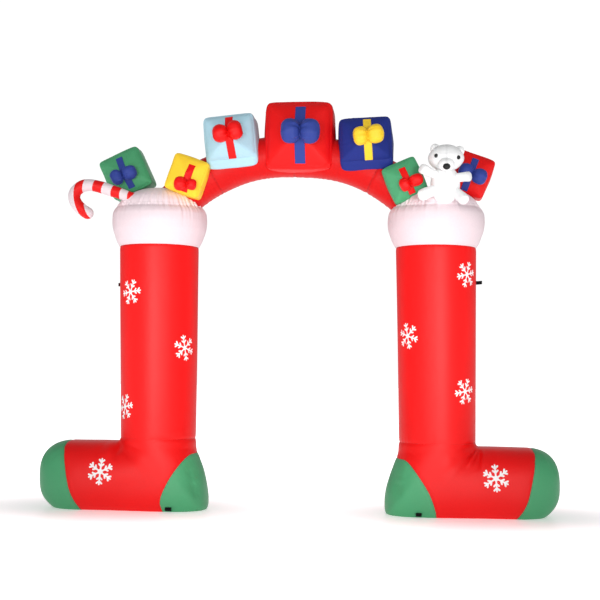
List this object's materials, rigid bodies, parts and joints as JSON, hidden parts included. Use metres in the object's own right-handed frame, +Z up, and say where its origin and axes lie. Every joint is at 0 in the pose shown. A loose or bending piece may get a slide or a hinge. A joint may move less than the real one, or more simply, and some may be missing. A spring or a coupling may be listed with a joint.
{
  "type": "inflatable arch",
  "caption": "Walk-through inflatable arch: stocking-shaped legs with white cuffs, a bowed red tube, gift boxes with bows, a hooked candy cane and a small white bear.",
  "frame": {"origin": "on the floor, midway between the two stockings, at the bottom centre of the bounding box", "axes": "+Z up; the front, with the bows and the bear, faces -Y; +X runs across the arch, to the right seen from the front, towards the stocking that carries the bear"},
  "size_m": [3.034, 0.6404, 2.4],
  "materials": {
    "red_cloth": "satin",
    "green_cloth": "satin",
    "white_cloth": "satin",
    "bear_cloth": "satin",
    "light_blue_cloth": "satin",
    "dark_blue_cloth": "satin",
    "yellow_cloth": "satin",
    "bow_blue_cloth": "satin",
    "cane_cloth": "satin, printed with white stripes",
    "black_cloth": "satin",
    "webbing": "matt woven webbing"
  },
  "bodies": {
    "root": {"left_leg": "red_cloth", "left_foot": "red_cloth", "left_heel": "green_cloth", "left_toe": "green_cloth", "left_cuff": "white_cloth", "left_cuff_top": "white_cloth", "right_leg": "red_cloth", "right_foot": "red_cloth", "right_heel": "green_cloth", "right_toe": "green_cloth", "right_cuff": "white_cloth", "right_cuff_top": "white_cloth", "arch_tube": "red_cloth", "top_red_gift": "red_cloth", "top_red_ribbon": "bow_blue_cloth", "top_red_bow": "bow_blue_cloth", "light_blue_gift": "light_blue_cloth", "light_blue_ribbon": "red_cloth", "light_blue_bow": "red_cloth", "dark_blue_gift": "dark_blue_cloth", "dark_blue_ribbon": "yellow_cloth", "dark_blue_bow": "yellow_cloth", "outer_green_gift": "green_cloth", "outer_green_ribbon": "bow_blue_cloth", "outer_green_bow": "bow_blue_cloth", "yellow_gift": "yellow_cloth", "yellow_ribbon": "red_cloth", "yellow_bow": "red_cloth", "inner_green_gift": "green_cloth", "inner_green_ribbon": "red_cloth", "inner_green_bow": "red_cloth", "outer_red_gift": "red_cloth", "outer_red_ribbon": "bow_blue_cloth", "outer_red_bow": "bow_blue_cloth", "candy_cane": "cane_cloth", "bear_head": "bear_cloth", "bear_body": "bear_cloth", "bear_muzzle": "bear_cloth", "bear_left_ear": "bear_cloth", "bear_right_ear": "bear_cloth", "bear_left_arm": "bear_cloth", "bear_right_arm": "bear_cloth", "bear_left_leg": "bear_cloth", "bear_right_leg": "bear_cloth", "bear_nose": "black_cloth", "bear_left_eye": "black_cloth", "bear_right_eye": "black_cloth", "left_tether_loop": "webbing", "right_tether_loop": "webbing", "left_stake_tab": "webbing", "right_stake_tab": "webbing"}
  },
  "joints": []
}
